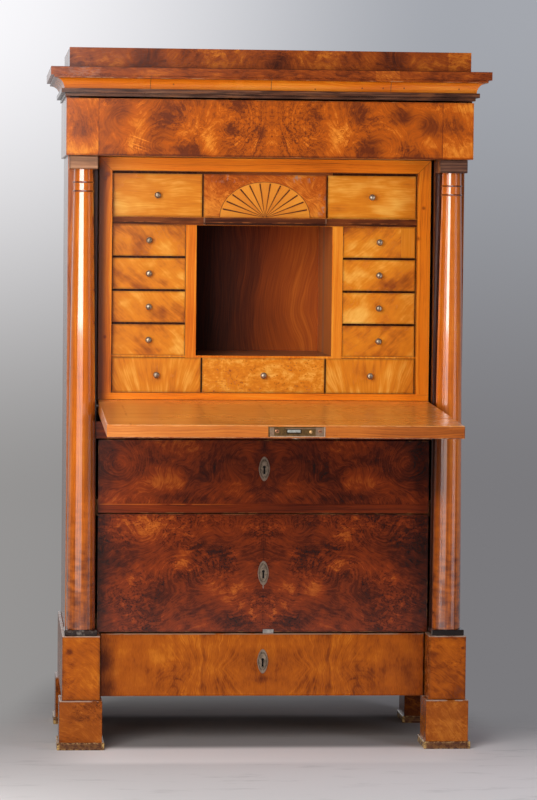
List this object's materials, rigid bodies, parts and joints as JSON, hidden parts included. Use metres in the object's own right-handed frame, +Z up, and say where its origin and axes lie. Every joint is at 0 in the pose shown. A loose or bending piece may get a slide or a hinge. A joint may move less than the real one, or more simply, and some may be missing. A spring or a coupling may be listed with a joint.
{
  "type": "fall front secretaire",
  "caption": "Walnut fall front writing cabinet on block feet with columns, a moulded cornice, an open writing flap and a nest of small drawers round a niche.",
  "frame": {"origin": "floor, in the middle of the box round the piece with its flap open", "axes": "+Z up, front towards -Y, +X to the right seen from the front"},
  "size_m": [0.988, 0.9458, 1.5801],
  "materials": {
    "walnut_figured": "polished burr walnut veneer, orange brown",
    "walnut_dark": "polished dark red brown walnut veneer",
    "walnut_light": "polished light walnut, golden orange",
    "walnut_niche": "satin brown walnut inside the writing compartment",
    "softwood": "bare inner timber",
    "ebonised": "blackened, slightly worn",
    "pewter": "dull aged metal"
  },
  "bodies": {
    "cabinet": {"abacus_left": "ebonised", "abacus_right": "ebonised", "back_panel": "softwood", "bottom_board": "softwood", "column_left": "walnut_light", "column_plinth_left": "ebonised", "column_plinth_right": "ebonised", "column_right": "walnut_light", "cornice": "walnut_figured", "desk_floor": "walnut_dark", "dust_board_lower": "softwood", "dust_board_upper": "softwood", "fan_panel": "walnut_light", "foot_front_left": "walnut_figured", "foot_front_right": "walnut_figured", "foot_rear_left": "walnut_figured", "foot_rear_right": "walnut_figured", "frieze_floor": "walnut_light", "interior_case": "walnut_niche", "interior_frame": "walnut_light", "interior_moulding": "ebonised", "pedestal_left": "walnut_figured", "pedestal_right": "walnut_figured", "side_left": "walnut_figured", "side_right": "walnut_figured"},
    "flap": {"flap": "walnut_light", "flap_lock": "pewter"},
    "drawer_lower": {"drawer_lower": "walnut_figured", "escutcheon_lower": "pewter"},
    "drawer_middle": {"drawer_middle": "walnut_dark", "escutcheon_middle": "pewter"},
    "drawer_upper": {"drawer_upper": "walnut_dark", "escutcheon_upper": "pewter"},
    "drawer_frieze": {"drawer_frieze": "walnut_figured"},
    "drawer_top_left": {"drawer_top_left": "walnut_light", "knob_top_left": "pewter"},
    "drawer_left_1": {"drawer_left_1": "walnut_light", "knob_left_1": "pewter"},
    "drawer_left_2": {"drawer_left_2": "walnut_light", "knob_left_2": "pewter"},
    "drawer_left_3": {"drawer_left_3": "walnut_light", "knob_left_3": "pewter"},
    "drawer_left_4": {"drawer_left_4": "walnut_light", "knob_left_4": "pewter"},
    "drawer_bottom_left": {"drawer_bottom_left": "walnut_light", "knob_bottom_left": "pewter"},
    "drawer_top_right": {"drawer_top_right": "walnut_light", "knob_top_right": "pewter"},
    "drawer_right_1": {"drawer_right_1": "walnut_light", "knob_right_1": "pewter"},
    "drawer_right_2": {"drawer_right_2": "walnut_light", "knob_right_2": "pewter"},
    "drawer_right_3": {"drawer_right_3": "walnut_light", "knob_right_3": "pewter"},
    "drawer_right_4": {"drawer_right_4": "walnut_light", "knob_right_4": "pewter"},
    "drawer_bottom_right": {"drawer_bottom_right": "walnut_light", "knob_bottom_right": "pewter"},
    "drawer_bottom_centre": {"drawer_bottom_centre": "walnut_light", "knob_bottom_centre": "pewter"}
  },
  "joints": [
    {"name": "flap_hinge", "type": "hinge", "parent": "cabinet", "child": "flap", "pos_m": [0, 0.09239, 0.7726], "axis": [1, 0, 0], "range_deg": [-92, 0]},
    {"name": "drawer_lower_slide", "type": "slide", "parent": "cabinet", "child": "drawer_lower", "axis": [0, -1, 0], "range_m": [0, 0.27]},
    {"name": "drawer_middle_slide", "type": "slide", "parent": "cabinet", "child": "drawer_middle", "axis": [0, -1, 0], "range_m": [0, 0.27]},
    {"name": "drawer_upper_slide", "type": "slide", "parent": "cabinet", "child": "drawer_upper", "axis": [0, -1, 0], "range_m": [0, 0.27]},
    {"name": "drawer_frieze_slide", "type": "slide", "parent": "cabinet", "child": "drawer_frieze", "axis": [0, -1, 0], "range_m": [0, 0.32]},
    {"name": "drawer_top_left_slide", "type": "slide", "parent": "cabinet", "child": "drawer_top_left", "axis": [0, -1, 0], "range_m": [0, 0.21]},
    {"name": "drawer_left_1_slide", "type": "slide", "parent": "cabinet", "child": "drawer_left_1", "axis": [0, -1, 0], "range_m": [0, 0.21]},
    {"name": "drawer_left_2_slide", "type": "slide", "parent": "cabinet", "child": "drawer_left_2", "axis": [0, -1, 0], "range_m": [0, 0.21]},
    {"name": "drawer_left_3_slide", "type": "slide", "parent": "cabinet", "child": "drawer_left_3", "axis": [0, -1, 0], "range_m": [0, 0.21]},
    {"name": "drawer_left_4_slide", "type": "slide", "parent": "cabinet", "child": "drawer_left_4", "axis": [0, -1, 0], "range_m": [0, 0.21]},
    {"name": "drawer_bottom_left_slide", "type": "slide", "parent": "cabinet", "child": "drawer_bottom_left", "axis": [0, -1, 0], "range_m": [0, 0.21]},
    {"name": "drawer_top_right_slide", "type": "slide", "parent": "cabinet", "child": "drawer_top_right", "axis": [0, -1, 0], "range_m": [0, 0.21]},
    {"name": "drawer_right_1_slide", "type": "slide", "parent": "cabinet", "child": "drawer_right_1", "axis": [0, -1, 0], "range_m": [0, 0.21]},
    {"name": "drawer_right_2_slide", "type": "slide", "parent": "cabinet", "child": "drawer_right_2", "axis": [0, -1, 0], "range_m": [0, 0.21]},
    {"name": "drawer_right_3_slide", "type": "slide", "parent": "cabinet", "child": "drawer_right_3", "axis": [0, -1, 0], "range_m": [0, 0.21]},
    {"name": "drawer_right_4_slide", "type": "slide", "parent": "cabinet", "child": "drawer_right_4", "axis": [0, -1, 0], "range_m": [0, 0.21]},
    {"name": "drawer_bottom_right_slide", "type": "slide", "parent": "cabinet", "child": "drawer_bottom_right", "axis": [0, -1, 0], "range_m": [0, 0.21]},
    {"name": "drawer_bottom_centre_slide", "type": "slide", "parent": "cabinet", "child": "drawer_bottom_centre", "axis": [0, -1, 0], "range_m": [0, 0.21]}
  ]
}
